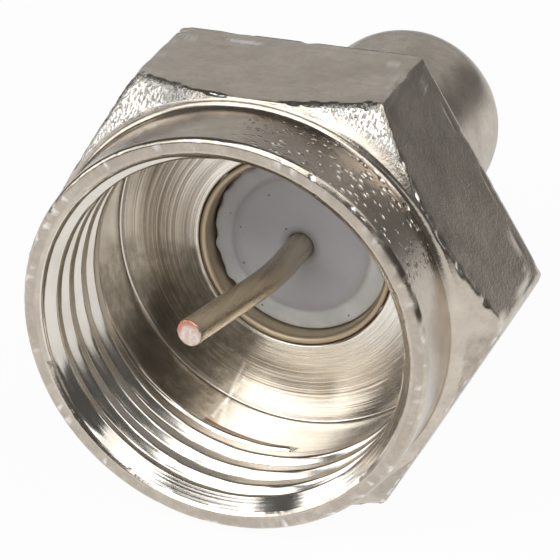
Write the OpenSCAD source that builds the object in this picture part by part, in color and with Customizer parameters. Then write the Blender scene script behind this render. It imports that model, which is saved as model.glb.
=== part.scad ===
// F-type coaxial plug with a closed rear sleeve: a hexagonal coupling with a threaded collar,
// a drawn sleeve pressed into its floor, and a film resistor inside whose front lead is the contact.
// Every piece is drawn along Z from the mouth plane (z = 0) to the rear, then laid on one hex flat.

/* [Thread] */
// Major diameter of the internal coupling thread
thread_major_d = 9.525; // [9.3:0.025:9.6]
// Radial height of the thread, whose crests are cut well back
thread_height = 0.27; // [0.22:0.01:0.43]
// Depth from the mouth at which the full thread ends
thread_end = 3.1; // [2.6:0.05:3.5]
// Depth from the mouth at which the lead-in cone ends
lead_in_len = 0.4; // [0.3:0.02:0.6]
// Radial width of the bevel on the mouth's inner edge
mouth_bevel = 0.08; // [0.04:0.01:0.1]
// Radial depth of the smooth relief beyond the thread's major radius
relief_extra = 0.04; // [0.02:0.01:0.1]

/* [Collar] */
// Wall of the collar outside the thread's major radius
collar_wall = 0.485; // [0.4:0.005:0.53]
// Length of the round collar, from the mouth to its root fillet
collar_len = 2; // [1.5:0.05:2.4]
// Radius of the concave fillet where the collar meets the hexagon
root_fillet = 0.2; // [0.1:0.01:0.24]
// Radius of the rounded outer edge of the mouth
rim_round = 0.14; // [0.08:0.01:0.2]

/* [Hexagon] */
// Distance across the flats of the hexagon
hex_af = 11; // [10.9:0.05:12]
// Length of the hexagon, from its front chamfer to its rear face
hex_len = 3.97; // [3.6:0.01:5]
// Axial length of the cone that cuts the front corners
front_chamfer_len = 0.82; // [0.4:0.02:1.1]
// Radius of the six long corner edges
corner_round = 0.25; // [0.2:0.05:0.8]
// Size of the bevel round the rear face
rear_bevel = 0.14; // [0.05:0.01:0.3]
// Thickness of the floor that carries the sleeve
floor_thick = 0.82; // [0.6:0.02:1.2]
// Size of the broken edge round the seat hole in the floor
seat_edge = 0.06; // [0.03:0.01:0.12]

/* [Sleeve] */
// Outer diameter of the rear sleeve
sleeve_d = 5.2; // [4.8:0.05:5.8]
// Wall of the drawn sleeve
sleeve_wall = 0.2; // [0.15:0.01:0.35]
// Length of sleeve that stands out behind the hexagon
sleeve_out = 9.9; // [9:0.1:12]
// Bevel that opens the sleeve's front edge
lip_bevel = 0.12; // [0.06:0.02:0.14]
// Outer radius of the rounded closed end
end_round = 1.8; // [1:0.1:2]

/* [Insulator] */
// Depth of the insulator's face behind the sleeve's front edge
insulator_recess = 0.4; // [0.2:0.02:0.8]
// Thickness of the insulator
insulator_thick = 1.6; // [1.2:0.1:2.2]
// Width of the lower ledge round the insulator's raised centre
ledge_w = 0.55; // [0.3:0.05:0.8]
// Drop of the ledge below the raised centre
ledge_drop = 0.1; // [0.05:0.01:0.3]

/* [Contact pin] */
// Diameter of the resistor's two leads
lead_d = 0.7; // [0.5:0.02:1]
// Distance that the pin's end stands proud of the mouth
pin_proud = 0.3; // [0.1:0.05:2]
// Angle by which the used pin is bent off the axis
pin_bend = 11; // [2:0.5:14]
// Radius of the pin's centre line round the bend
pin_bend_r = 9; // [5:0.5:11]
// Straight length of pin between the insulator and the bend
pin_root_len = 1; // [0.6:0.05:1.4]
// Direction of the bend, clockwise round the axis from the top flat, seen from the mouth
pin_bend_clock = -80; // [-180:5:180]

// Radial thinning of the wire round the bend
bend_thinning = 0.004; // [0.002:0.001:0.02]

/* [Resistor] */
// Clear length of lead between the insulator and the front end cap
lead_gap = 0.8; // [0.5:0.1:1.2]
// Length of the resistor over its two end caps
resistor_len = 5.6; // [4.8:0.1:6]
// Outer diameter of the end caps
cap_d = 2.3; // [2:0.1:2.8]
// Length of each end cap
cap_len = 1.3; // [1:0.1:1.8]
// Wall of each end cap
cap_wall = 0.15; // [0.1:0.01:0.25]
// Depth of the waist that the lacquer leaves between the end caps
coat_waist = 0.05; // [0.02:0.01:0.12]
// Height of the solder cone round the rear lead
solder_h = 0.9; // [0.5:0.1:1.1]
// Thickness of the solder cone where it ends on the rear lead
solder_tip = 0.12; // [0.08:0.01:0.2]

/* [Fits] */
// Clearance round the sleeve in the floor's seat hole
seat_fit = 0.02; // [0.01:0.01:0.05]
// Clearance round the insulator in the sleeve
insulator_fit = 0.01; // [0.01:0.01:0.05]
// Clearance round the pin in the insulator
pin_fit = 0.01; // [0.01:0.01:0.05]

/* [Hidden] */
$fn = 96;
eps = 0.01;

thread_major_r = thread_major_d / 2;
thread_minor_r = thread_major_r - thread_height;
relief_r = thread_major_r + relief_extra;
collar_r = thread_major_r + collar_wall;
hex_front = collar_len;
hex_rear = hex_front + hex_len;
hex_corner_r = hex_af / 2 / cos(30);
floor_z = hex_rear - floor_thick;

sleeve_r = sleeve_d / 2;
sleeve_inner_r = sleeve_r - sleeve_wall;
sleeve_end = hex_rear + sleeve_out;
sleeve_floor = sleeve_end - sleeve_wall;
seat_r = sleeve_r + seat_fit;

insulator_r = sleeve_inner_r - insulator_fit;
insulator_face = floor_z + insulator_recess;
insulator_back = insulator_face + insulator_thick;

lead_r = lead_d / 2;
bend_start = insulator_face - pin_root_len;
bend_drop = pin_bend_r * sin(pin_bend);
bend_shift = pin_bend_r * (1 - cos(pin_bend));
bend_end = bend_start - bend_drop;
tip_z = -pin_proud + lead_r * sin(pin_bend);
tip_len = (bend_end - tip_z) / cos(pin_bend);

cap_front = insulator_back + lead_gap;
cap_rear = cap_front + resistor_len;
cap_r = cap_d / 2;
core_r = cap_r - cap_wall;
coat_r = cap_r - coat_waist;
coat_front = cap_front + cap_len;
coat_rear = cap_rear - cap_len;

// The part lies on a hex flat: its axis is half the hexagon up, and its length is centred on Y
axis_height = hex_af / 2;
length_centre = (sleeve_end - pin_proud) / 2;

// Lays a piece that was drawn along Z on the hex flat, with the mouth towards -Y
module laid() {
    translate([0, -length_centre, axis_height])
        rotate([-90, 0, 0])
            children();
}

// Hexagon with one flat at the bottom and rounded corners, as an outline
module hexagon(af, round_r) {
    inner_r = (af / 2 - round_r) / cos(30);
    polygon([for (k = [0:5]) [inner_r * cos(60 * k), inner_r * sin(60 * k)]]);
    for (k = [0:5]) {
        rotate(60 * k)
            translate([inner_r, 0])
                circle(r = round_r);
        rotate(60 * k + 30)
            translate([0, -inner_r / 2])
                square([af / 2, inner_r]);
    }
}

// Turned blank of the hexagon, with the cone that cuts its front corners
module hexagon_turning() {
    front_r = collar_r + root_fillet;
    rotate_extrude()
        polygon([
            [0, hex_front],
            [front_r, hex_front],
            [hex_corner_r, hex_front + front_chamfer_len],
            [hex_corner_r, hex_rear],
            [0, hex_rear]
        ]);
}

// Bars laid along the six rear edges, to be cut away as the bevel
module rear_bevel_cuts() {
    bar = rear_bevel * sqrt(2);
    for (k = [0:5])
        rotate(60 * k + 30)
            translate([hex_af / 2, 0, hex_rear])
                rotate([0, 45, 0])
                    cube([bar, hex_af, bar], center = true);
}

// Round collar with a rounded rim and a concave fillet at its root
module collar_turning() {
    rotate_extrude()
        union() {
            translate([0, rim_round])
                square([collar_r, collar_len]);
            square([collar_r - rim_round, collar_len]);
            translate([collar_r - rim_round, rim_round])
                circle(r = rim_round);
            difference() {
                translate([0, hex_front - root_fillet])
                    square([collar_r + root_fillet, 2 * root_fillet]);
                translate([collar_r + root_fillet, hex_front - root_fillet])
                    circle(r = root_fillet);
            }
        }
}

// Everything cut from the inside: bevel, lead-in cone, thread bore, relief and the sleeve's seat
module coupling_bore() {
    runout = relief_r - thread_minor_r;
    rotate_extrude()
        polygon([
            [0, -eps],
            [relief_r + mouth_bevel, -eps],
            [relief_r, 0.75 * mouth_bevel],
            [thread_minor_r, lead_in_len],
            [thread_minor_r, thread_end],
            [relief_r, thread_end + runout],
            [relief_r, floor_z],
            [seat_r + seat_edge, floor_z],
            [seat_r, floor_z + seat_edge],
            [seat_r, hex_rear + eps],
            [0, hex_rear + eps]
        ]);
}

module coupling() {
    color([0.66, 0.63, 0.59])
        laid()
            difference() {
                union() {
                    intersection() {
                        linear_extrude(height = hex_rear)
                            hexagon(hex_af, corner_round);
                        hexagon_turning();
                    }
                    collar_turning();
                }
                rear_bevel_cuts();
                coupling_bore();
            }
}

// Outline of a can with a rounded end, closed at the far end
module can_outline(r, z0, z1, round_r) {
    translate([0, z0])
        square([r, z1 - z0 - round_r]);
    translate([0, z0])
        square([r - round_r, z1 - z0]);
    intersection() {
        translate([r - round_r, z1 - round_r])
            circle(r = round_r);
        translate([0, z0])
            square([r + eps, z1 - z0 + eps]);
    }
}

module sleeve() {
    color([0.62, 0.59, 0.55])
        laid()
            rotate_extrude()
                difference() {
                    can_outline(sleeve_r, floor_z, sleeve_end, end_round);
                    can_outline(sleeve_inner_r, floor_z - eps, sleeve_floor, end_round - sleeve_wall);
                    polygon([
                        [sleeve_inner_r - eps, floor_z - eps],
                        [sleeve_inner_r + lip_bevel, floor_z - eps],
                        [sleeve_inner_r, floor_z + lip_bevel],
                        [sleeve_inner_r - eps, floor_z + lip_bevel]
                    ]);
                }
}

module insulator() {
    hole_r = lead_r + pin_fit;
    color([0.62, 0.64, 0.67])
        laid()
            rotate_extrude()
                polygon([
                    [hole_r, insulator_face],
                    [insulator_r - ledge_w, insulator_face],
                    [insulator_r - ledge_w, insulator_face + ledge_drop],
                    [insulator_r, insulator_face + ledge_drop],
                    [insulator_r, insulator_back],
                    [hole_r, insulator_back]
                ]);
}

// Front lead of the resistor: straight through the insulator, then bent off the axis
module contact_pin() {
    color([0.72, 0.62, 0.52])
        laid()
            rotate([0, 0, pin_bend_clock - 90]) {
                translate([0, 0, bend_start - eps])
                    cylinder(r = lead_r, h = cap_front - bend_start + eps);
                translate([pin_bend_r, 0, bend_start])
                    rotate([-90, 0, 0])
                        rotate([0, 0, 180 - pin_bend])
                            rotate_extrude(angle = pin_bend)
                                translate([pin_bend_r, 0])
                                    circle(r = lead_r - bend_thinning);
                translate([bend_shift, 0, bend_end])
                    rotate([0, 180 - pin_bend, 0])
                        translate([0, 0, -eps])
                            cylinder(r = lead_r, h = tip_len + eps);
            }
}

// Cup pressed over one end of the ceramic core, with its closed face at z = 0
module end_cap() {
    difference() {
        cylinder(r = cap_r, h = cap_len);
        translate([0, 0, cap_wall])
            cylinder(r = core_r, h = cap_len);
    }
}

module resistor_cap_front() {
    color([0.7, 0.7, 0.7])
        laid()
            translate([0, 0, cap_front])
                end_cap();
}

module resistor_cap_rear() {
    color([0.7, 0.7, 0.7])
        laid()
            translate([0, 0, cap_rear])
                mirror([0, 0, 1])
                    end_cap();
}

module resistor_core() {
    color([0.9, 0.88, 0.83])
        laid()
            translate([0, 0, cap_front + cap_wall])
                cylinder(r = core_r, h = resistor_len - 2 * cap_wall);
}

// Lacquer that covers the core between the two caps
module resistor_coat() {
    color([0.78, 0.68, 0.52])
        laid()
            translate([0, 0, coat_front])
                difference() {
                    cylinder(r = coat_r, h = coat_rear - coat_front);
                    translate([0, 0, -eps])
                        cylinder(r = core_r, h = coat_rear - coat_front + 2 * eps);
                }
}

module rear_lead() {
    color([0.72, 0.62, 0.52])
        laid()
            translate([0, 0, cap_rear])
                cylinder(r = lead_r, h = sleeve_floor - cap_rear);
}

// Solder cone that joins the rear lead to the inside of the closed end
module solder_joint() {
    base_r = sleeve_r - end_round;
    color([0.75, 0.75, 0.76])
        laid()
            rotate_extrude()
                polygon([
                    [lead_r, sleeve_floor],
                    [base_r, sleeve_floor],
                    [lead_r + solder_tip, sleeve_floor - solder_h],
                    [lead_r, sleeve_floor - solder_h]
                ]);
}

coupling();
sleeve();
insulator();
contact_pin();
resistor_cap_front();
resistor_core();
resistor_coat();
resistor_cap_rear();
rear_lead();
solder_joint();
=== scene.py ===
import math

import bpy
import numpy as np
from mathutils import Matrix, Vector, noise


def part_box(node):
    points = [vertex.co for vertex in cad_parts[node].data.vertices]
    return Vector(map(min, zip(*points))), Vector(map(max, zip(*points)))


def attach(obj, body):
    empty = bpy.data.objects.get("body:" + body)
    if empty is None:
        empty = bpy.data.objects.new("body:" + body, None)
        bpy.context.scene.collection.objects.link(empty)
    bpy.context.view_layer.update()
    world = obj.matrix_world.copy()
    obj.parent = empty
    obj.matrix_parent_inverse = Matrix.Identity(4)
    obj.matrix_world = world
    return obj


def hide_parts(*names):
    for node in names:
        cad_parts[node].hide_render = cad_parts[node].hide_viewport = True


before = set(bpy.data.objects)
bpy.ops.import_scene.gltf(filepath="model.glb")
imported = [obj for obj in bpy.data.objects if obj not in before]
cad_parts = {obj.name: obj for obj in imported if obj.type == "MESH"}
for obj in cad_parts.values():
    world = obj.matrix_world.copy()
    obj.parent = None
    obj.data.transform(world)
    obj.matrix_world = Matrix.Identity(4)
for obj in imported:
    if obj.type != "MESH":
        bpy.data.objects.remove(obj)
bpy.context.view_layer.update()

MM = 0.001
MICRON = 0.000001
TAU = 2 * math.pi
# Half the angle that one flat of the hexagon takes up
HALF_FLAT = math.radians(30)


# ---------------------------------------------------------------- sizes, in millimetres
def box_mm(node):
    """Low and high corner of a solid's box."""
    low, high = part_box(node)
    return [v / MM for v in low], [v / MM for v in high]


COUPLING_LOW, COUPLING_HIGH = box_mm("coupling")
SLEEVE_LOW, SLEEVE_HIGH = box_mm("sleeve")
DISC_LOW, DISC_HIGH = box_mm("insulator")

MOUTH_Y = COUPLING_LOW[1]
AXIS_Z = (COUPLING_LOW[2] + COUPLING_HIGH[2]) / 2

# Hexagon and collar
APOTHEM = (COUPLING_HIGH[2] - COUPLING_LOW[2]) / 2
SHARP_REACH = APOTHEM / math.cos(HALF_FLAT)
HEX_REAR = COUPLING_HIGH[1] - MOUTH_Y
HEX_FRONT = 2.0
CHAMFER_LEN = 0.82
REAR_BEVEL = 0.14
CORNER_ROUND = (SHARP_REACH - COUPLING_HIGH[0]) / (1 / math.cos(HALF_FLAT) - 1)
ROOT_FILLET = 0.2
RIM_ROUND = 0.14

# Thread: 3/8-32 UNEF
THREAD_MAJOR = 9.525 / 2
THREAD_PITCH = 0.794
THREAD_MINOR = THREAD_MAJOR - 0.27
THREAD_END = 3.1
THREAD_START = 0.0825
CREST_FLAT = 0.3
ROOT_FLAT = 0.18
LEAD_IN = 0.4
MOUTH_BEVEL = 0.08
RUNOUT_LEN = 0.75
RUNOUT_SLOPE = 0.55
RELIEF = THREAD_MAJOR + 0.04
COLLAR = THREAD_MAJOR + 0.485
CONE_START = COLLAR + ROOT_FILLET
CONE_SLOPE = CHAMFER_LEN / (SHARP_REACH - CONE_START)

# Sleeve, insulator and pin
SLEEVE = (SLEEVE_HIGH[0] - SLEEVE_LOW[0]) / 2
SLEEVE_WALL = 0.2
SLEEVE_END = SLEEVE_HIGH[1] - MOUTH_Y
END_ROUND = 2.25
LIP_BEVEL = 0.12
BORE_FLOOR = SLEEVE_LOW[1] - MOUTH_Y
SEAT = SLEEVE + 0.02
SEAT_EDGE = 0.06
DISC = (DISC_HIGH[0] - DISC_LOW[0]) / 2
DISC_FACE = DISC_LOW[1] - MOUTH_Y
DISC_BACK = DISC_HIGH[1] - MOUTH_Y
LEDGE = 0.55
LEAD = 0.35
PIN_PROUD = 0.3
PIN_BEND = math.radians(11)
PIN_BEND_R = 9.0
PIN_ROOT = 1.0
PIN_CLOCK = math.radians(-80)
PIN_BACK = DISC_BACK + 0.8


# ---------------------------------------------------------------- mesh helpers
def grid_mesh(name, points, closed_profile, attributes=None, cap_ends=False):
    """Mesh from points[station][column], closed round the columns and, if asked, along the profile."""
    stations, columns, _ = points.shape
    vertices = points.reshape(-1, 3)
    index = np.arange(stations * columns).reshape(stations, columns)
    rows = np.arange(stations if closed_profile else stations - 1)
    here = index[rows]
    there = index[(rows + 1) % stations]
    quads = np.stack([here, there, np.roll(there, -1, axis=1), np.roll(here, -1, axis=1)], axis=-1)
    if closed_profile:
        # These profiles run rearwards along their outside, so their faces are turned to look outwards
        quads = quads[..., ::-1]
    faces = [tuple(face) for face in quads.reshape(-1, 4).tolist()]
    if cap_ends:
        faces.append(tuple(index[0].tolist()))
        faces.append(tuple(reversed(index[-1].tolist())))
    mesh = bpy.data.meshes.new(name)
    mesh.from_pydata((vertices * MM).tolist(), [], faces)
    mesh.polygons.foreach_set("use_smooth", [True] * len(faces))
    for key, values in (attributes or {}).items():
        layer = mesh.attributes.new(key, "FLOAT", "POINT")
        layer.data.foreach_set("value", np.clip(values, 0, 1).astype(np.float32).ravel())
    mesh.update()
    piece = bpy.data.objects.new(name, mesh)
    bpy.context.scene.collection.objects.link(piece)
    return piece


def place(radius, theta, depth):
    """Points at a radius and a depth behind the mouth.

    Theta runs clockwise from the top, seen from the mouth.
    """
    radius, theta, depth = np.broadcast_arrays(radius, theta, depth)
    return np.stack([radius * np.sin(theta), MOUTH_Y + depth, AXIS_Z + radius * np.cos(theta)], axis=-1)


def stacked(rows, theta):
    """Radius and depth of each ring and column, from rings given as (radius, depth)."""
    radius = np.stack([np.broadcast_to(r, theta.shape)[0] for r, _ in rows])
    depth = np.stack([np.broadcast_to(d, theta.shape)[0] for _, d in rows])
    return radius, depth, np.broadcast_to(theta, radius.shape)


def grid_normals(points):
    """Unit normals of a grid that closes both ways."""
    along = np.roll(points, -1, axis=0) - np.roll(points, 1, axis=0)
    around = np.roll(points, -1, axis=1) - np.roll(points, 1, axis=1)
    normal = np.cross(around, along)
    return normal / np.maximum(np.linalg.norm(normal, axis=-1, keepdims=True), 1e-9)


def noise_field(points, scale, seed):
    """Smooth noise from -1 to 1 at each point, with features about scale millimetres across."""
    shifted = points / scale + np.array([seed * 17.3, seed * 5.1, seed * 9.7])
    flat = [noise.noise(Vector(p)) for p in shifted.reshape(-1, 3)]
    return np.array(flat).reshape(points.shape[:-1])


def waves(points, size, seed, height):
    """Unevenness of a surface: smooth noise of a given height, in millimetres."""
    return height * noise_field(points, size, seed)


def bites(points, size, seed, level):
    """Scattered bites: the noise that rises above a level."""
    return np.clip(noise_field(points, size, seed) - level, 0, 1)


def smoothstep(low, high, value):
    """Zero below low, one above high and a smooth rise between."""
    t = np.clip((value - low) / (high - low), 0, 1)
    return t * t * (3 - 2 * t)


def window(value, low, high, soft):
    """One between low and high, falling smoothly to zero over soft outside them."""
    return smoothstep(low - soft, low, value) * (1 - smoothstep(high, high + soft, value))


def angle_window(theta, low_deg, high_deg, soft_deg):
    """The same for an angle, given in degrees clockwise from the top."""
    middle = math.radians((low_deg + high_deg) / 2)
    half = math.radians((high_deg - low_deg) / 2)
    off = np.abs((theta - middle + math.pi) % TAU - math.pi)
    return 1 - smoothstep(half, half + math.radians(soft_deg), off)


def dent(theta, depth, at_deg, at_depth, half_angle, half_depth):
    """One at a mark's centre, falling to zero at its edge."""
    off = (theta - math.radians(at_deg) + math.pi) % TAU - math.pi
    reach = (off / math.radians(half_angle)) ** 2 + ((depth - at_depth) / half_depth) ** 2
    return np.clip(1 - reach, 0, 1)


def ramp(start, stop, count):
    """Evenly spaced values without the last, so that stretches join."""
    return np.linspace(start, stop, count, endpoint=False)


# ---------------------------------------------------------------- coupling
# Old knocks: angle, depth, half width in degrees, half length and how deep
KNOCKS = (
    (341, 5.42, 3.5, 0.05, 0.02),
    (347, 5.34, 5.0, 0.04, 0.025),
    (352, 5.33, 3.0, 0.03, 0.02),
    (343, 4.9, 2.0, 0.06, 0.012),
    (12, 5.45, 12.0, 0.025, 0.018),
    (44, 5.55, 4.0, 0.04, 0.02),
    (52, 5.5, 7.0, 0.03, 0.02),
    (66, 5.58, 9.0, 0.035, 0.02),
    (80, 5.5, 4.0, 0.05, 0.02),
    (25, 4.2, 1.5, 0.08, 0.02),
    (28, 3.3, 1.2, 0.07, 0.02),
    (31, 5.0, 1.2, 0.1, 0.02),
)

# Places round the axis, in degrees clockwise from the top: start, end and soft margin
PITTED_ARC = (14, 54, 16)
CHATTER_LEFT_ARC = (-55, -22, 12)
CHATTER_RIGHT_ARC = (12, 62, 8)
DARK_REFLECTION_ARC = (50, 76, 6)
BROWN_LINE_ARC = (175.5, 204, 1)
RUNOUT_SHADE_ARC = (230, 305, 12)
LAST_TURN_ARC = (175, 330, 2)
DULL_ARC = (222, 335, 25)
BORE_SHADE_ARC = (205, 262, 7)
LOW_FLAT_ARC = (92, 148, 2)
SCRATCH_ARC = (202.7, 203.3, 0.7)

# Uneven plate outside and on the relief's wall: feature size, seed and height
PLATE_WAVES = (1.1, 4, 0.004)
RELIEF_WAVES = (0.9, 14, 0.006)
# Bites out of each stretch: feature size, seed, level of noise that is left alone and how deep they go
BITES = {
    "rim": (0.16, 5, 0.28, 0.05),
    "inner_rim": (0.2, 12, 0.25, 0.04),
    "rear_edge": (0.3, 11, 0.2, 0.07),
    "corner": (0.35, 16, 0.02, 0.09),
}
CHIP_SINK = 0.05

# The long scratch starts at this depth on the wall and ends at this radius on the floor
SCRATCH_START = 3.95
SCRATCH_END_R = 3.7
# The brown spot on the last crest: angle, depth, half angle and half depth
CREST_BROWN_SPOT = (177, 3.5, 3, 0.16)
# Radii that differ by less than this count as equal
TOUCH = 0.001
# A ring this near to the depth of the bore's floor counts as part of it
FACE_DEPTH = 0.015


def hexagon_reach(theta):
    """Distance from the axis to the outline of the hexagon with rounded corners."""
    off = np.abs((theta + HALF_FLAT) % (2 * HALF_FLAT) - HALF_FLAT)
    corner = (APOTHEM - CORNER_ROUND) / math.cos(HALF_FLAT)
    delta = HALF_FLAT - off
    arc = corner * np.cos(delta) + np.sqrt(np.maximum(CORNER_ROUND**2 - (corner * np.sin(delta)) ** 2, 0))
    half_flat = (APOTHEM - CORNER_ROUND) * math.tan(HALF_FLAT)
    return np.where(APOTHEM * np.tan(off) <= half_flat, APOTHEM / np.cos(off), arc)


def coupling_angles():
    """Columns round the coupling, packed closer at the six corners."""
    zone = math.radians(5)
    flat = ramp(zone, 2 * HALF_FLAT - zone, 50)
    corner = ramp(-zone, zone, 20)
    side = np.concatenate([corner, flat])
    return np.concatenate([side + math.radians(30 + 60 * k) for k in range(6)])


def thread_radius(theta, depth):
    """Radius of the internal right-hand thread, with lead-in at the mouth and run-out before the relief."""
    phase = (depth / THREAD_PITCH - theta / TAU + THREAD_START) % 1.0
    off = np.abs(phase - 0.5) * THREAD_PITCH
    flank_end = (THREAD_PITCH - CREST_FLAT) / 2
    groove = np.clip((flank_end - off) / (flank_end - ROOT_FLAT / 2), 0, 1)
    cut = THREAD_MINOR + (THREAD_MAJOR - THREAD_MINOR) * groove
    bevel_len = 0.75 * MOUTH_BEVEL
    lead = RELIEF - (RELIEF - THREAD_MINOR) * (depth - bevel_len) / (LEAD_IN - bevel_len)
    lead = np.where(depth < bevel_len, RELIEF + MOUTH_BEVEL * (1 - depth / bevel_len), lead)
    runout = THREAD_MINOR + np.clip((depth - THREAD_END) * RUNOUT_SLOPE, 0, RELIEF - THREAD_MINOR)
    last_turn = smoothstep(THREAD_END, THREAD_END + 0.12, depth) * (1 - angle_window(theta, *LAST_TURN_ARC))
    runout = np.maximum(runout, RELIEF * last_turn)
    return np.maximum(np.maximum(cut, lead), runout)


def coupling_rings(theta, reach, meet):
    """The coupling's rings, from the rim over the outside to the rear face and back through the bore."""
    rows = []

    def row(radius, depth):
        rows.append((radius, depth))

    # Rim, collar and root fillet
    for a in ramp(0, math.pi / 2, 5):
        row(COLLAR - RIM_ROUND + RIM_ROUND * math.sin(a), RIM_ROUND - RIM_ROUND * math.cos(a))
    for depth in ramp(RIM_ROUND, HEX_FRONT - ROOT_FILLET, 18):
        row(COLLAR, depth)
    for a in ramp(0, math.pi / 2, 6):
        row(CONE_START - ROOT_FILLET * math.cos(a), HEX_FRONT - ROOT_FILLET + ROOT_FILLET * math.sin(a))
    # Cone across the front corners, a slight edge, then the flats with closer rings near the rear
    for t in ramp(0, 0.94, 9):
        row(CONE_START + (reach - CONE_START) * t, HEX_FRONT + (meet - HEX_FRONT) * t)
    row(reach - 0.012, meet + 0.004)
    row(reach, meet + 0.05)
    row(reach, meet + 0.1)
    for t in [*ramp(0.06, 0.88, 9), *ramp(0.88, 1, 6)]:
        row(reach, meet + (HEX_REAR - REAR_BEVEL - meet) * t)
    # Rear bevel and rear face
    row(reach, HEX_REAR - REAR_BEVEL)
    row(reach - REAR_BEVEL * 0.9, HEX_REAR - REAR_BEVEL * 0.1)
    row(reach - REAR_BEVEL * 1.15, HEX_REAR)
    for t in (0.35, 0.7):
        row(reach + (SEAT - reach) * t, HEX_REAR)
    # Seat hole with its broken edge, and the floor
    row(SEAT, HEX_REAR)
    row(SEAT, HEX_REAR - 0.05)
    row(SEAT, BORE_FLOOR + SEAT_EDGE)
    row(SEAT + SEAT_EDGE * 0.3, BORE_FLOOR + SEAT_EDGE * 0.3)
    row(SEAT + SEAT_EDGE, BORE_FLOOR)
    for t in ramp(0.04, 0.96, 14):
        row(SEAT + (RELIEF - SEAT) * t, BORE_FLOOR)
    row(RELIEF - 0.07, BORE_FLOOR)
    row(RELIEF - 0.02, BORE_FLOOR - 0.02)
    row(RELIEF, BORE_FLOOR - 0.07)
    # Relief, thread and mouth
    for depth in ramp(BORE_FLOOR - 0.12, THREAD_END + RUNOUT_LEN, 10):
        row(RELIEF, depth)
    for depth in ramp(THREAD_END + RUNOUT_LEN, 0.42, 92):
        row(thread_radius(theta, depth), depth)
    for depth in (0.4, 0.37, 0.33, 0.28, 0.23, 0.18, 0.13, 0.09, 0.06, 0.045, 0.03, 0.015, 0.006):
        row(thread_radius(theta, depth), depth)
    row(RELIEF + MOUTH_BEVEL + 0.01, 0)
    row(RELIEF + MOUTH_BEVEL + 0.06, 0)
    return stacked(rows, theta)


def coupling_zones(theta, radius, depth, meet):
    """Where each stretch of the coupling's surface lies, as fields from 0 to 1."""
    outside = (radius > COLLAR - 0.2) & (depth < HEX_REAR - 0.02)
    bore = radius < RELIEF + TOUCH
    cone = outside * window(depth, HEX_FRONT + 0.02, HEX_FRONT + CHAMFER_LEN, 0.03)
    off_corner = np.abs(theta % (2 * HALF_FLAT) - HALF_FLAT)
    floor_face = np.abs(depth - BORE_FLOOR) < FACE_DEPTH
    return {
        "outside": outside,
        "bore": bore,
        "cone": cone * (1 - smoothstep(-0.05, 0.02, depth - meet)),
        "cone_outer": smoothstep(CONE_START + 0.1, CONE_START + 0.4, radius),
        "cone_edge": outside * window(depth, meet - 0.02, meet + 0.07, 0.04),
        "collar": outside * window(depth, 0.12, HEX_FRONT - 0.15, 0.1),
        "corner": outside * (depth > meet) * (1 - smoothstep(0.02, 0.05, off_corner)),
        "rim": outside * (1 - smoothstep(0.04, 0.16, depth)),
        "inner_rim": (radius < RELIEF + MOUTH_BEVEL + 0.02) & (depth < 0.07),
        "rear_edge": outside * smoothstep(HEX_REAR - 0.3, HEX_REAR - 0.1, depth),
        "relief": bore & (depth > THREAD_END) & (depth < BORE_FLOOR + 0.01),
        "relief_wall": (np.abs(radius - RELIEF) < TOUCH) & (depth > THREAD_END + 0.35),
        "last_crest": bore & (depth > THREAD_END + 0.05) & (depth < THREAD_END + RUNOUT_LEN),
        "floor_face": floor_face,
    }


def coupling_brown_and_shade(theta, depth, zone):
    """Brown lines beside the last crest, and a fainter band of painted shade where the thread runs out."""
    crest_depth = THREAD_PITCH * (theta / TAU - THREAD_START)
    off_crest = np.abs((depth - crest_depth + THREAD_PITCH / 2) % THREAD_PITCH - THREAD_PITCH / 2)
    beside = angle_window(theta, *BROWN_LINE_ARC) * window(off_crest, 0.12, 0.2, 0.03)
    brown_lines_and_shade = np.maximum(zone["last_crest"] * beside, zone["last_crest"] * dent(theta, depth, *CREST_BROWN_SPOT))
    # Painted shade: a fainter brown band where the thread runs out into the relief
    runout = window(depth, THREAD_END + 0.12, THREAD_END + 0.24, 0.05)
    runout = runout * angle_window(theta, *RUNOUT_SHADE_ARC)
    return np.maximum(brown_lines_and_shade, 0.6 * runout * zone["bore"])


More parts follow.
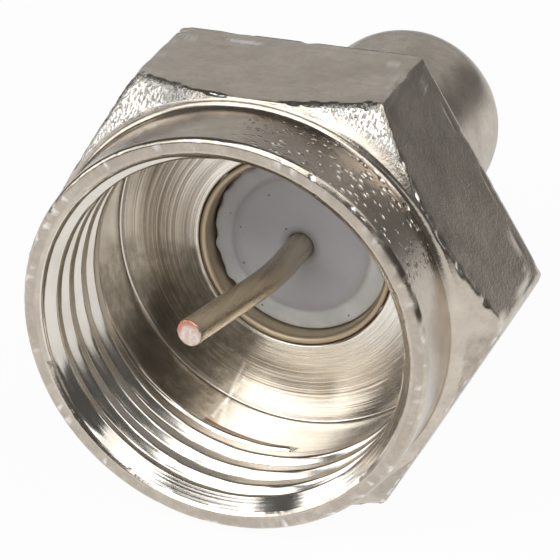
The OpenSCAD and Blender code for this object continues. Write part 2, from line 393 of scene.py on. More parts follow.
def make_coupling():
    theta = coupling_angles()[None, :]
    reach = hexagon_reach(theta)
    meet = HEX_FRONT + CONE_SLOPE * (reach - CONE_START)
    radius, depth, theta = coupling_rings(theta, reach, meet)
    points = place(radius, theta, depth)
    normal = grid_normals(points)
    zone = coupling_zones(theta, radius, depth, meet)
    outside = zone["outside"]

    # Uneven plate, bites, chips and knocks
    chips = zone["cone_edge"] * np.clip(3 * noise_field(points, 0.22, 17) - 0.1, 0, 1)
    lift = waves(points, *PLATE_WAVES) * outside
    lift += waves(points, *RELIEF_WAVES) * zone["relief"]
    lift -= CHIP_SINK * chips
    bitten = {}
    for name, (size, seed, level, sink) in BITES.items():
        bitten[name] = bites(points, size, seed, level) * zone[name]
        lift -= sink * bitten[name]
    for at_deg, at_depth, half_angle, half_depth, sink in KNOCKS:
        lift -= sink * dent(theta, depth, at_deg, at_depth, half_angle, half_depth) * outside

    # Fields that only the material reads
    # The chatter arcs also mark where the cone is painted bright as a highlight
    chatter = np.maximum(
        zone["cone"] * angle_window(theta, *CHATTER_LEFT_ARC),
        zone["cone"] * zone["cone_outer"] * angle_window(theta, *CHATTER_RIGHT_ARC),
    )
    # A painted dark reflection in a band just behind the rim on the right side
    dark_reflection = outside * window(depth, 0.03, 0.16, 0.05) * angle_window(theta, *DARK_REFLECTION_ARC)
    dark_reflection = dark_reflection * smoothstep(-0.25, 0.2, noise_field(points, 0.35, 15))
    dull = (zone["bore"] & (depth > LEAD_IN)) | zone["floor_face"]
    # Painted shade low on the left of the bore and on the lower right flat
    painted_shade = (zone["relief_wall"] | zone["floor_face"]) * angle_window(theta, *BORE_SHADE_ARC)
    low_flat = outside * (depth > HEX_FRONT + 0.1) * angle_window(theta, *LOW_FLAT_ARC)
    scratch = angle_window(theta, *SCRATCH_ARC) * window(depth, SCRATCH_START, BORE_FLOOR + 0.01, 0.03)
    scratch = scratch * zone["bore"] * (radius > SCRATCH_END_R)

    points = points + normal * lift[..., None]
    rear_wear = zone["rear_edge"] * noise_field(points, *BITES["rear_edge"][:2])
    masks = {
        "rough": chatter,
        "pitted": zone["collar"] * angle_window(theta, *PITTED_ARC),
        "inside": zone["bore"] & (depth > 0.05) & (depth < BORE_FLOOR + 0.01),
        "scratch": scratch,
        "dull": dull * angle_window(theta, *DULL_ARC),
        "painted_shade": np.maximum(painted_shade, low_flat),
        "rim_face": (depth < 0.012) & (radius > RELIEF + 0.09),
        "dark_reflection": dark_reflection,
        "brown_lines_and_shade": coupling_brown_and_shade(theta, depth, zone),
        "floor_face": zone["floor_face"],
        "edges": 3 * bitten["rim"] + 0.8 * bitten["corner"] + rear_wear,
        "chips": chips,
    }
    return grid_mesh("coupling_turned", points, True, masks)


# ---------------------------------------------------------------- sleeve
SLEEVE_COLUMNS = 144
# Broken outer edge of the lip, and the length of the round inside it
LIP_EDGE = 0.05
LIP_LEN = 1.3 * LIP_BEVEL
# Uneven wall from this far behind the lip: feature size, seed and height
WAVE_START = 1.0
LONG_WAVES = (1.6, 6, 0.006)
SHORT_WAVES = (0.5, 7, 0.003)
# The ring of warmer plate behind the lip fades out between these distances
GILT_RING = (0.45, 0.6)


def make_sleeve():
    theta = np.linspace(0, TAU, SLEEVE_COLUMNS, endpoint=False)[None, :]
    end_start = SLEEVE_END - END_ROUND
    flat_r = SLEEVE - END_ROUND
    inner = SLEEVE - SLEEVE_WALL
    inner_round = END_ROUND - SLEEVE_WALL

    # Outside, from the lip to the middle of the closed end
    rows = [(SLEEVE - LIP_EDGE, BORE_FLOOR)]
    rows += [(SLEEVE - LIP_EDGE * 0.3, BORE_FLOOR + LIP_EDGE * 0.3), (SLEEVE, BORE_FLOOR + LIP_EDGE)]
    rows += [(SLEEVE, z) for z in np.linspace(BORE_FLOOR + 0.3, end_start, 26)]
    for a in np.linspace(0, math.pi / 2, 15)[1:]:
        rows.append((flat_r + END_ROUND * math.cos(a), end_start + END_ROUND * math.sin(a)))
    rows += [(flat_r * t, SLEEVE_END) for t in (0.6, 0.3, 0.02)]
    outer_count = len(rows)

    # Inside, back to the lip
    rows += [(flat_r * t, SLEEVE_END - SLEEVE_WALL) for t in (0.02, 0.4)]
    for a in np.linspace(math.pi / 2, 0, 9):
        rows.append((flat_r + inner_round * math.cos(a), end_start + inner_round * math.sin(a)))
    rows += [(inner, z) for z in np.linspace(end_start - 0.3, BORE_FLOOR + LIP_LEN, 14)]
    for a in np.linspace(0, math.pi / 2, 7)[1:]:
        rows.append((inner + LIP_BEVEL * (1 - math.cos(a)), BORE_FLOOR + LIP_LEN * (1 - math.sin(a))))

    radius, depth, theta = stacked(rows, theta)
    points = place(radius, theta, depth)
    outside = (np.arange(len(rows))[:, None] < outer_count) & (depth > BORE_FLOOR + WAVE_START)
    ripple = waves(points, *LONG_WAVES) + waves(points, *SHORT_WAVES)
    points = points + grid_normals(points) * (ripple * outside)[..., None]
    ring = 1 - smoothstep(*GILT_RING, depth - BORE_FLOOR)
    return grid_mesh("sleeve_drawn", points, True, {"ring": ring})


# ---------------------------------------------------------------- insulator
DISC_COLUMNS = 192
PIN_HOLE = LEAD + 0.01
SOCKET_MOUTH = LEAD + 0.03
# Arcs where the edge is ragged and where the ledge is painted most brightly lit
RAGGED_ARC = (235, 330, 15)
LIT_RIM_ARC = (50, 215, 35)
# Uneven face: feature size, seed and height
FACE_WAVES = (0.7, 8, 0.008)


def make_insulator():
    theta = np.linspace(0, TAU, DISC_COLUMNS, endpoint=False)[None, :]
    centre = DISC - LEDGE
    flash = 0.045 + 0.03 * np.sin(theta * 19) + 0.02 * np.sin(theta * 31 + 1)
    edge = DISC - 0.005 - np.clip(flash * angle_window(theta, *RAGGED_ARC), 0, 0.2)
    rows = []

    def row(radius, depth):
        rows.append((radius, DISC_FACE + depth))

    # Hole for the pin, raised centre, ledge and ragged edge
    row(LEAD + 0.002, 0.03)
    row(LEAD + 0.006, 0.01)
    row(SOCKET_MOUTH, 0.002)
    for radius in ramp(SOCKET_MOUTH + 0.07, centre - 0.1, 10):
        row(radius, 0)
    row(centre - 0.06, 0.004)
    row(centre, 0.04)
    row(centre + 0.05, 0.09)
    row(centre + 0.12, 0.1)
    row(centre + 0.3, 0.07 + 0.02 * np.sin(theta * 3))
    row(edge - 0.07, 0.085)
    row(edge - 0.02, 0.1)
    row(edge, 0.14)
    row(DISC, 0.3)
    row(DISC, DISC_BACK - DISC_FACE)
    row(PIN_HOLE, DISC_BACK - DISC_FACE)
    radius, depth, theta = stacked(rows, theta)
    points = place(radius, theta, depth)
    face = (depth < DISC_FACE + 0.2) & (radius > SOCKET_MOUTH + 0.05)
    points[..., 1] += waves(points, *FACE_WAVES) * face

    # The ledge carries painted light, strongest on one arc
    ledge = smoothstep(centre - 0.06, centre + 0.06, radius) * (depth < DISC_FACE + 0.4)
    rim = ledge * (0.25 + 0.75 * angle_window(theta, *LIT_RIM_ARC))
    socket = 1 - smoothstep(LEAD, LEAD + 0.2, radius)
    return grid_mesh("insulator_moulded", points, True, {"rim": rim, "socket": socket})


# ---------------------------------------------------------------- contact pin
PIN_COLUMNS = 48
# How far the last three rings draw in, round the edge of the cut
EDGE_DRAW_IN = (0.005, 0.015, 0.05)
# Rings across the cut, as shares of its radius, and how far its middle stands out
CUT_SHARES = (0.8, 0.6, 0.4, 0.2, 0.02)
CUT_CROWN = 0.012
# Uneven cut: feature size, seed and height
CUT_WAVES = (0.16, 9, 0.012)
# Where bare copper shows most, as an angle round the wire
COPPER_TURN = 0.9


def pin_path():
    """Centre line of the pin: how far it has moved sideways, its depth and its angle off the axis."""
    start = DISC_FACE - PIN_ROOT
    path = [(0.0, depth, 0.0) for depth in np.linspace(PIN_BACK, start, 8)]
    for a in np.linspace(0, PIN_BEND, 14)[1:]:
        path.append((PIN_BEND_R * (1 - math.cos(a)), start - PIN_BEND_R * math.sin(a), a))
    shift, depth, a = path[-1]
    tip_depth = -PIN_PROUD + LEAD * math.sin(a)
    length = (depth - tip_depth) / math.cos(a)
    for t in [*np.linspace(0, length - 0.05, 16)[1:], length - 0.03, length - 0.01, length]:
        path.append((shift + t * math.sin(a), depth - t * math.cos(a), a))
    return path


def make_pin():
    path = pin_path()
    phi = np.linspace(0, TAU, PIN_COLUMNS, endpoint=False)
    outward = np.array([math.sin(PIN_CLOCK), 0, math.cos(PIN_CLOCK)])
    side = np.array([math.cos(PIN_CLOCK), 0, -math.sin(PIN_CLOCK)])
    origin = np.array([0, MOUTH_Y, AXIS_Z])
    rings = []
    cut = []

    def ring(centre, angle, radius, is_cut):
        across = outward * math.cos(angle) + np.array([0, math.sin(angle), 0])
        rings.append(centre + radius * (np.cos(phi)[:, None] * across + np.sin(phi)[:, None] * side))
        cut.append(np.full(len(phi), is_cut))

    # The wire, whose last three rings round the edge of the cut
    first_edge = len(path) - len(EDGE_DRAW_IN)
    for i, (offset, depth, angle) in enumerate(path):
        centre = origin + outward * offset + np.array([0, depth, 0])
        draw_in = EDGE_DRAW_IN[i - first_edge] if i >= first_edge else 0.0
        ring(centre, angle, LEAD - draw_in, 1.0 if i > first_edge else 0.0)
    # The cut face
    tip = centre
    inward = np.array([0, math.cos(angle), 0]) - outward * math.sin(angle)
    for t in CUT_SHARES:
        ring(tip + inward * CUT_CROWN * (1 - t), angle, (LEAD - EDGE_DRAW_IN[-1]) * t, 1.0)
    points = np.array(rings)
    cut = np.array(cut)
    # Copper shows on the edge's three rings and the first one of the cut face
    copper = np.zeros_like(cut)
    copper[first_edge:first_edge + 4] = np.clip(0.3 + np.cos(phi - COPPER_TURN), 0, 1)
    points = points + inward * (waves(points, *CUT_WAVES) * cut)[..., None]
    return grid_mesh("contact_wire", points, False, {"cut": cut, "copper": copper}, cap_ends=True)


coupling = make_coupling()
sleeve = make_sleeve()
insulator = make_insulator()
pin = make_pin()
for piece, node, slot in (
    (coupling, "coupling", "plated_coupling"),
    (sleeve, "sleeve", "plated_sleeve"),
    (insulator, "insulator", "insulator"),
    (pin, "contact_pin", "tinned_copper"),
):
    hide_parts(node)
    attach(piece, "root")


# ---------------------------------------------------------------- materials
class Nodes:
    """Short calls for building a node material.

    Noise scales count features per metre, and bump heights are in metres.
    """

    def __init__(self, name):
        self.material = bpy.data.materials.new(name)
        self.material.use_nodes = True
        self.tree = self.material.node_tree
        self.shader = self.tree.nodes["Principled BSDF"]
        self.position = self.add("ShaderNodeTexCoord").outputs["Object"]

    def add(self, kind, **settings):
        node = self.tree.nodes.new(kind)
        for key, value in settings.items():
            setattr(node, key, value)
        return node

    def link(self, source, target):
        self.tree.links.new(source, target)

    def set(self, socket, value):
        if hasattr(value, "is_linked"):
            self.link(value, socket)
        else:
            socket.default_value = value

    def noise(self, scale, detail=3.0, roughness=0.55, vector=None):
        node = self.add("ShaderNodeTexNoise")
        self.link(vector or self.position, node.inputs["Vector"])
        node.inputs["Scale"].default_value = scale
        node.inputs["Detail"].default_value = detail
        node.inputs["Roughness"].default_value = roughness
        return node.outputs["Fac"]

    def voronoi(self, scale, vector=None):
        node = self.add("ShaderNodeTexVoronoi", feature="F1")
        self.link(vector or self.position, node.inputs["Vector"])
        node.inputs["Scale"].default_value = scale
        return node.outputs["Distance"]

    def stretch(self, x, y, z, tilt_deg=0.0, along=1.0):
        """Object coordinates scaled per axis, and along a direction tilted down from X."""
        node = self.add("ShaderNodeMapping")
        self.link(self.position, node.inputs["Vector"])
        node.inputs["Rotation"].default_value = (0, math.radians(-tilt_deg), 0)
        node.inputs["Scale"].default_value = (x, y, z)
        if along == 1.0:
            return node.outputs["Vector"]
        squeeze = self.add("ShaderNodeMapping")
        self.link(node.outputs["Vector"], squeeze.inputs["Vector"])
        squeeze.inputs["Scale"].default_value = (along, 1, 1)
        return squeeze.outputs["Vector"]

    def remap(self, value, low, high, to_low=0.0, to_high=1.0):
        node = self.add("ShaderNodeMapRange")
        self.set(node.inputs["Value"], value)
        for key, number in (("From Min", low), ("From Max", high), ("To Min", to_low), ("To Max", to_high)):
            node.inputs[key].default_value = number
        return node.outputs["Result"]

    def math(self, operation, a, b=0.0):
        node = self.add("ShaderNodeMath", operation=operation)
        self.set(node.inputs[0], a)
        self.set(node.inputs[1], b)
        return node.outputs[0]

    def mix(self, factor, a, b):
        node = self.add("ShaderNodeMix", data_type="RGBA")
        self.set(node.inputs["Factor"], factor)
        self.set(node.inputs[6], a)
        self.set(node.inputs[7], b)
        return node.outputs[2]

    def mask(self, name):
        return self.add("ShaderNodeAttribute", attribute_name=name).outputs["Fac"]

    def bump(self, height, distance, strength=1.0, under=None):
        node = self.add("ShaderNodeBump")
        self.link(height, node.inputs["Height"])
        node.inputs["Distance"].default_value = distance
        node.inputs["Strength"].default_value = strength
        if under is not None:
            self.link(under, node.inputs["Normal"])
        return node.outputs["Normal"]

    def spot(self, x, depth, half_x, half_depth):
        """A ragged mark on the top flat, at a place given in millimetres."""
        around = self.add("ShaderNodeMapping", vector_type="TEXTURE")
        self.link(self.position, around.inputs["Vector"])
        around.inputs["Location"].default_value = (x * MM, (MOUTH_Y + depth) * MM, 2 * AXIS_Z * MM)
        around.inputs["Scale"].default_value = (half_x * MM, half_depth * MM, MM)
        reach = self.add("ShaderNodeVectorMath", operation="LENGTH")
        self.link(around.outputs["Vector"], reach.inputs[0])
        fray = self.remap(self.noise(7000, 4, 0.7), 0.3, 0.7, -0.2, 0.6)
        return self.remap(self.math("ADD", reach.outputs["Value"], fray), 0.6, 1.0, 0.9, 0.0)

    def from_middle(self, first, second):
        """Distance from the middle, given two coordinates."""
        square = self.math("ADD", self.math("POWER", first, 2.0), self.math("POWER", second, 2.0))
        return self.math("SQRT", square)

    def rings(self, scale, along_axis):
        """Turning marks: bands along the connector's axis, or circles round it on a flat face."""
        split = self.add("ShaderNodeSeparateXYZ")
        self.link(self.position, split.inputs[0])
        if along_axis:
            value = split.outputs["Y"]
        else:
            height = self.math("SUBTRACT", split.outputs["Z"], AXIS_Z * MM)
            value = self.from_middle(split.outputs["X"], height)
        node = self.add("ShaderNodeTexNoise", noise_dimensions="1D")
        self.link(value, node.inputs["W"])
        node.inputs["Scale"].default_value = scale
        node.inputs["Detail"].default_value = 4.0
        node.inputs["Roughness"].default_value = 0.7
        return node.outputs["Fac"]


def colour(r, g, b):
    return (r, g, b, 1.0)


NICKEL_DARK = colour(0.51, 0.45, 0.38)
NICKEL_LIGHT = colour(0.68, 0.61, 0.52)
NICKEL_INSIDE = colour(0.79, 0.75, 0.69)
NICKEL_FLOOR = colour(0.90, 0.85, 0.77)
NICKEL_WORN_AND_GLINT = colour(0.95, 0.93, 0.89)
SKIN = colour(0.45, 0.395, 0.335)
TARNISH = colour(0.50, 0.42, 0.33)
BROWN = colour(0.16, 0.10, 0.06)
GILT = colour(0.62, 0.51, 0.37)
DARK_REFLECTION = colour(0.10, 0.085, 0.07)
SHADE_TONE = colour(0.36, 0.32, 0.26)
PLASTIC_SHADED = (colour(0.55, 0.535, 0.555), colour(0.63, 0.615, 0.64))
PLASTIC_LIT_RIM = (colour(0.72, 0.735, 0.72), colour(0.90, 0.905, 0.87))
SOCKET_SHADE = colour(0.16, 0.16, 0.145)
SPECK = colour(0.25, 0.245, 0.24)
TIN = (colour(0.42, 0.36, 0.28), colour(0.68, 0.61, 0.50))
CUT_FACE = (colour(0.66, 0.50, 0.42), colour(0.82, 0.72, 0.66))
COPPER = colour(0.60, 0.27, 0.19)

PLATE_ROUGHNESS = (0.15, 0.24)
PLASTIC_ROUGHNESS = (0.35, 0.5)
TIN_ROUGHNESS = (0.22, 0.34)
# How far the pits lean down from level, in degrees
PIT_TILT = 40
# Marks on the top flat: X, depth and half sizes along each
WORN_SPOT = (-1.3, 5.35, 0.65, 0.17)
BROWN_SPOT = (-1.7, 4.9, 0.4, 0.2)


def nickel_base(m):
    """Colour, roughness and normal of dull nickel plate: cloudy, with fine grain and faint scratches."""
    cloud = m.noise(700, 5, 0.65)
    base = m.mix(m.remap(cloud, 0.32, 0.68), NICKEL_DARK, NICKEL_LIGHT)
    speckle = m.remap(m.noise(6000, 3, 0.6), 0.52, 0.75)
    base = m.mix(m.math("MULTIPLY", speckle, 0.5), base, SKIN)
    blotch = m.remap(m.noise(2200, 5, 0.7), 0.52, 0.68)
    base = m.mix(m.math("MULTIPLY", blotch, 0.35), base, SKIN)
    rough = m.remap(m.noise(900, 3), 0.3, 0.7, *PLATE_ROUGHNESS)
    calm = m.math("SUBTRACT", 1.0, m.math("MULTIPLY", m.mask("inside"), 0.85))
    normal = m.bump(m.math("MULTIPLY", m.noise(13000, 3, 0.6), calm), 4 * MICRON, 0.8)
    normal = m.bump(m.math("MULTIPLY", m.noise(3600, 3, 0.6), calm), 6 * MICRON, 0.5, normal)
    scratch = m.noise(2600, 4, 0.65, m.stretch(1.0, 0.12, 1.0))
    normal = m.bump(m.math("MULTIPLY", scratch, calm), 3 * MICRON, 0.3, normal)
    return base, rough, normal


def finish_metal(m, base, rough, normal):
    """Link the three results to the shader of a metal."""
    m.link(base, m.shader.inputs["Base Color"])
    m.link(rough, m.shader.inputs["Roughness"])
    m.link(normal, m.shader.inputs["Normal"])
    m.shader.inputs["Metallic"].default_value = 1.0
    return m.material


def coupling_material():
    m = Nodes("nickel_turned")
    base, rough, normal = nickel_base(m)
    inside = m.mask("inside")

    # Cleaner plate inside, with brown tarnish in soft patches
    base = m.mix(m.math("MULTIPLY", inside, 0.85), base, NICKEL_INSIDE)
    patch = m.remap(m.noise(600, 4, 0.6), 0.45, 0.8)
    base = m.mix(m.math("MULTIPLY", patch, m.math("MULTIPLY", inside, 0.4)), base, TARNISH)

    # Chattered cone: short ridges that run outwards, painted near-white as a highlight
    chatter = m.noise(19000, 3, 0.7, m.stretch(1.0, 0.5, 0.4))
    chatter = m.remap(chatter, 0.28, 0.52)
    torn = m.mask("rough")
    base = m.mix(m.math("MULTIPLY", torn, 0.8), base, m.mix(chatter, NICKEL_DARK, NICKEL_WORN_AND_GLINT))
    normal = m.bump(m.math("MULTIPLY", chatter, torn), 22 * MICRON, 1.0, normal)

    # Pitted plate on the collar: small pits in clusters on a dull skin, painted bright as glints
    clusters = m.remap(m.noise(1900, 3), 0.38, 0.62, -0.1, 0.14)
    pits = m.math("ADD", m.voronoi(6600, m.stretch(1.0, 1.0, 1.0, PIT_TILT, 0.5)), clusters)
    pits = m.remap(pits, 0.12, 0.40)
    pit_zone = m.mask("pitted")
    base = m.mix(m.math("MULTIPLY", pit_zone, 0.8), base, m.mix(pits, NICKEL_WORN_AND_GLINT, SKIN))
    normal = m.bump(m.math("MULTIPLY", pits, pit_zone), 30 * MICRON, 1.0, normal)
    orange_peel = m.noise(5200, 3, 0.6)
    normal = m.bump(m.math("MULTIPLY", orange_peel, pit_zone), 16 * MICRON, 0.7, normal)
    rough = m.math("ADD", rough, m.math("MULTIPLY", pit_zone, 0.08))

    # Brighter floor, then faint painted shade in patches low on the left of the bore and on the lower right
    # flat
    base = m.mix(m.math("MULTIPLY", m.mask("floor_face"), 0.6), base, NICKEL_FLOOR)
    shade_patches = m.remap(m.noise(2800, 5, 0.7), 0.35, 0.62, 0.2, 0.85)
    shade_patches = m.math("MULTIPLY", shade_patches, m.mask("painted_shade"))
    base = m.mix(shade_patches, base, SHADE_TONE)
    rough = m.math("ADD", rough, m.math("MULTIPLY", shade_patches, 0.06))

    # Dirty rim face, with darker rings on the dull side of the floor
    dirt = m.remap(m.noise(3300, 4, 0.65), 0.35, 0.6, 0.15, 0.75)
    base = m.mix(m.math("MULTIPLY", dirt, m.mask("rim_face")), base, SKIN)
    streaks = m.remap(m.rings(5200, False), 0.45, 0.62, 0.0, 0.75)
    streaks = m.math("MULTIPLY", streaks, m.math("MULTIPLY", m.mask("dull"), m.mask("floor_face")))
    base = m.mix(streaks, base, SKIN)

    # Turning marks: circles on the floor, fine lines along the bore
    turned = m.rings(9000, False)
    normal = m.bump(m.math("MULTIPLY", turned, m.mask("floor_face")), 12 * MICRON, 0.6, normal)
    lathe = m.rings(8000, True)
    normal = m.bump(m.math("MULTIPLY", lathe, inside), 6 * MICRON, 0.5, normal)
    rough = m.math("SUBTRACT", rough, m.math("MULTIPLY", inside, 0.06))
    rough = m.math("ADD", rough, m.math("MULTIPLY", m.mask("dull"), 0.04))

    # Bright nicks and chips along the edges, one long scratch inside and two marks on the top flat
    base = m.mix(m.mask("edges"), base, NICKEL_WORN_AND_GLINT)
    base = m.mix(m.mask("chips"), base, NICKEL_WORN_AND_GLINT)
    base = m.mix(m.math("MULTIPLY", m.mask("scratch"), 0.8), base, NICKEL_WORN_AND_GLINT)
    base = m.mix(m.spot(*WORN_SPOT), base, NICKEL_WORN_AND_GLINT)
    base = m.mix(m.spot(*BROWN_SPOT), base, TARNISH)

    # Painted dark reflection behind the rim, then brown lines beside the last crest and painted shade where
    # the thread runs out
    base = m.mix(m.mask("dark_reflection"), base, DARK_REFLECTION)
    base = m.mix(m.mask("brown_lines_and_shade"), base, BROWN)
    rough = m.math("ADD", rough, m.math("MULTIPLY", m.mask("dark_reflection"), 0.4))
    return finish_metal(m, base, rough, normal)


def sleeve_material():
    m = Nodes("nickel_drawn")
    base, rough, normal = nickel_base(m)
    ring = m.mask("ring")
    mottle = m.remap(m.noise(2300, 5, 0.7), 0.48, 0.66)
    base = m.mix(m.math("MULTIPLY", mottle, 0.6), base, SKIN)
    base = m.mix(ring, base, GILT)
    rough = m.math("ADD", rough, m.math("ADD", 0.1, m.math("MULTIPLY", ring, 0.16)))
    return finish_metal(m, base, rough, normal)


def insulator_material():
    m = Nodes("milky_plastic")
    cloud = m.noise(500, 3)
    # Painted shade makes the face grey, and painted light makes the ledge near white
    face = m.mix(m.remap(cloud, 0.3, 0.7), *PLASTIC_SHADED)
    rim = m.mix(m.remap(m.noise(1300, 4), 0.35, 0.7), *PLASTIC_LIT_RIM)
    base = m.mix(m.mask("rim"), face, rim)
    base = m.mix(m.math("MULTIPLY", m.mask("socket"), 0.6), base, SOCKET_SHADE)
    base = m.mix(m.remap(m.voronoi(2100), 0.05, 0.09), SPECK, base)
    m.link(base, m.shader.inputs["Base Color"])
    m.link(m.remap(cloud, 0.3, 0.7, *PLASTIC_ROUGHNESS), m.shader.inputs["Roughness"])
    m.link(m.bump(m.noise(3000, 3), 10 * MICRON, 0.4), m.shader.inputs["Normal"])
    m.shader.inputs["Subsurface Weight"].default_value = 0.25
    m.shader.inputs["Subsurface Radius"].default_value = (0.0004, 0.0004, 0.0005)
    return m.material


def pin_material():
    m = Nodes("tinned_wire")
    streaks = m.noise(3000, 4, 0.6, m.stretch(1.0, 0.08, 1.0))
    tin = m.mix(m.remap(streaks, 0.35, 0.65), *TIN)
    face = m.mix(m.remap(m.noise(5200, 4), 0.4, 0.6), *CUT_FACE)
    base = m.mix(m.mask("cut"), tin, face)
    base = m.mix(m.mask("copper"), base, COPPER)
    m.link(base, m.shader.inputs["Base Color"])
    m.link(m.remap(streaks, 0.3, 0.7, *TIN_ROUGHNESS), m.shader.inputs["Roughness"])
    m.link(m.bump(m.noise(9000, 3), 10 * MICRON, 0.5), m.shader.inputs["Normal"])
    m.shader.inputs["Metallic"].default_value = 0.9
    return m.material


def plain_grain(name, low, high, roughness, metallic):
    """Material of a hidden piece: two tones of one colour in a fine grain."""
    m = Nodes(name)
    grain = m.noise(2500, 4)
    m.link(m.mix(m.remap(grain, 0.35, 0.65), colour(*low), colour(*high)), m.shader.inputs["Base Color"])
    m.link(m.remap(grain, 0.3, 0.7, roughness, roughness + 0.15), m.shader.inputs["Roughness"])
    m.link(m.bump(grain, 10 * MICRON, 0.4), m.shader.inputs["Normal"])
    m.shader.inputs["Metallic"].default_value = metallic
    return m.material


def dress(piece, material):
    """Give a piece one material in place of any that it has."""
    piece.data.materials.clear()
    piece.data.materials.append(material)


dress(coupling, coupling_material())
dress(sleeve, sleeve_material())
dress(insulator, insulator_material())
dress(pin, pin_material())
tinned = plain_grain("tinned_caps", (0.5, 0.5, 0.49), (0.68, 0.67, 0.65), 0.3, 1.0)
hidden = {
    "resistor_cap_front": tinned,
    "resistor_cap_rear": tinned,
    "resistor_core": plain_grain("ceramic", (0.72, 0.69, 0.62), (0.85, 0.82, 0.76), 0.5, 0.0),
    "resistor_coat": plain_grain("lacquer", (0.5, 0.36, 0.2), (0.62, 0.47, 0.29), 0.2, 0.0),
    "rear_lead": plain_grain("tinned_lead", (0.45, 0.39, 0.31), (0.66, 0.6, 0.5), 0.25, 1.0),
    "solder_joint": plain_grain("solder", (0.5, 0.5, 0.5), (0.7, 0.7, 0.69), 0.25, 1.0),
}
for node, material in hidden.items():
    dress(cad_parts[node], material)


# ---------------------------------------------------------------- floor, light and camera
# The floor as metal reflects it, in metres: a painted pool of light, brightest round the object and dimmer
# far off, and painted shadow behind
LIT_RADIUS = 0.03
DIM_RADIUS = 0.09
LIT_LEVEL = 0.94
DIM_LEVEL = 0.40
BACK_START = -0.006
BACK_END = 0.002
BACK_LEVEL = 0.72
FLOOR_HALF = 0.6
FLOOR_DROP = 10 * MICRON
FLOOR_COLOUR = colour(0.88, 0.88, 0.88)
# How much of the floor's shading is swapped for plain white; the rest keeps the shadow
WHITE_SHARE = 0.955


def make_floor():
    mesh = bpy.data.meshes.new("floor")
    corners = [(x * FLOOR_HALF, y * FLOOR_HALF, 0) for x, y in ((-1, -1), (1, -1), (1, 1), (-1, 1))]
    mesh.from_pydata(corners, [], [(0, 1, 2, 3)])
    floor = bpy.data.objects.new("floor", mesh)
    floor.location.z = -FLOOR_DROP
    bpy.context.scene.collection.objects.link(floor)
    m = Nodes("floor_white")
    m.shader.inputs["Base Color"].default_value = FLOOR_COLOUR
    m.shader.inputs["Roughness"].default_value = 0.9
    m.shader.inputs["Specular IOR Level"].default_value = 0.0
    glow = m.add("ShaderNodeEmission")
    glow.inputs["Strength"].default_value = 1.0
    split = m.add("ShaderNodeSeparateXYZ")
    m.link(m.position, split.inputs[0])
    off_middle = m.from_middle(split.outputs["X"], split.outputs["Y"])
    pool = m.remap(off_middle, LIT_RADIUS, DIM_RADIUS, LIT_LEVEL, DIM_LEVEL)
    shadow_behind = m.remap(split.outputs["Y"], BACK_START, BACK_END, 1.0, BACK_LEVEL)
    path = m.add("ShaderNodeLightPath")
    # Glossy rays see the painted pool of light and the painted shadow behind
    mirrored = m.math("MULTIPLY", path.outputs["Is Glossy Ray"], m.math("MULTIPLY", pool, shadow_behind))
    seen = m.math("MAXIMUM", path.outputs["Is Camera Ray"], mirrored)
    seen = m.math("MAXIMUM", seen, path.outputs["Is Transmission Ray"])
    blend = m.add("ShaderNodeMixShader")
    m.link(m.math("MULTIPLY", seen, WHITE_SHARE), blend.inputs[0])
    m.link(m.shader.outputs[0], blend.inputs[1])
    m.link(glow.outputs[0], blend.inputs[2])
    m.link(blend.outputs[0], m.tree.nodes["Material Output"].inputs["Surface"])
    dress(floor, m.material)


# The lamps look at this point, on the axis inside the hexagon
TARGET_DEPTH = 4.0
TARGET = Vector((0.0, MOUTH_Y + TARGET_DEPTH, AXIS_Z)) * MM


def direction(azimuth, elevation):
    """Unit vector from the object towards a place; azimuth 0 is in front of the mouth, 90 to its right."""
    a, e = math.radians(azimuth), math.radians(elevation)
    return Vector((math.sin(a) * math.cos(e), -math.cos(a) * math.cos(e), math.sin(e)))


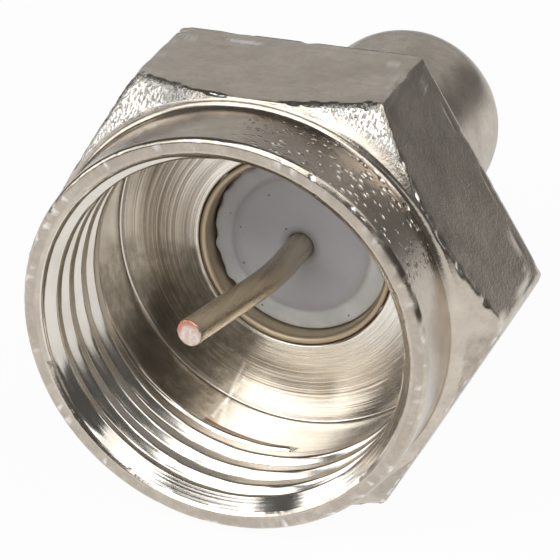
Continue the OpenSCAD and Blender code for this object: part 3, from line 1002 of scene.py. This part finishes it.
# Softboxes, all at the same distance: azimuth, elevation, width, height and strength
LIGHT_DISTANCE = 0.4
LIGHTS = {
    "key_front": (341, 25, 0.34, 0.17, 0.37),
    "key_upper": (343, 48, 0.34, 0.16, 0.47),
    "upper_mid": (29, 46, 0.15, 0.15, 0.13),
    "upper_right": (58, 43, 0.18, 0.15, 0.12),
    "left": (292, 20, 0.24, 0.20, 0.31),
    "right_high": (108, 48, 0.45, 0.20, 0.42),
    "right_low": (147, 14, 0.28, 0.20, 0.0155),
    "back_fill": (200, 22, 0.55, 0.26, 0.19),
}


def make_light(name, azimuth, elevation, width, height, strength):
    data = bpy.data.lights.new(name, "AREA")
    data.shape = "RECTANGLE"
    data.size = width
    data.size_y = height
    data.energy = strength
    lamp = bpy.data.objects.new(name, data)
    lamp.location = TARGET + direction(azimuth, elevation) * LIGHT_DISTANCE
    lamp.rotation_euler = direction(azimuth, elevation).to_track_quat("Z", "Y").to_euler()
    bpy.context.scene.collection.objects.link(lamp)


SKY_COLOUR = colour(1.0, 0.97, 0.94)
SKY_LEVEL = 0.09


def make_world():
    world = bpy.data.worlds.new("studio")
    world.use_nodes = True
    background = world.node_tree.nodes["Background"]
    background.inputs["Color"].default_value = SKY_COLOUR
    background.inputs["Strength"].default_value = SKY_LEVEL
    bpy.context.scene.world = world


# The lens sits on the photograph's side: a little right of the mouth and above it
VIEW_AZIMUTH = 20.94
VIEW_ELEVATION = 25.79
VIEW_ROLL = 1.03
VIEW_ANGLE = 8.01
VIEW_DISTANCE = 100.07
SENSOR_WIDTH = 36
VIEW_AIM = (0.14, MOUTH_Y + 3.711, AXIS_Z - 0.104)


def make_camera():
    data = bpy.data.cameras.new("camera")
    data.sensor_width = SENSOR_WIDTH
    data.angle = math.radians(VIEW_ANGLE)
    data.clip_start = 0.001
    data.clip_end = 5
    camera = bpy.data.objects.new("camera", data)
    back = direction(VIEW_AZIMUTH, VIEW_ELEVATION)
    roll = Matrix.Rotation(math.radians(-VIEW_ROLL), 4, "Z")
    turn = back.to_track_quat("Z", "Y").to_matrix().to_4x4() @ roll
    camera.matrix_world = Matrix.Translation((Vector(VIEW_AIM) + back * VIEW_DISTANCE) * MM) @ turn
    bpy.context.scene.collection.objects.link(camera)
    bpy.context.scene.camera = camera


make_floor()
for light_name, light_values in LIGHTS.items():
    make_light(light_name, *light_values)
make_world()
make_camera()
bpy.context.scene.view_settings.view_transform = "Standard"
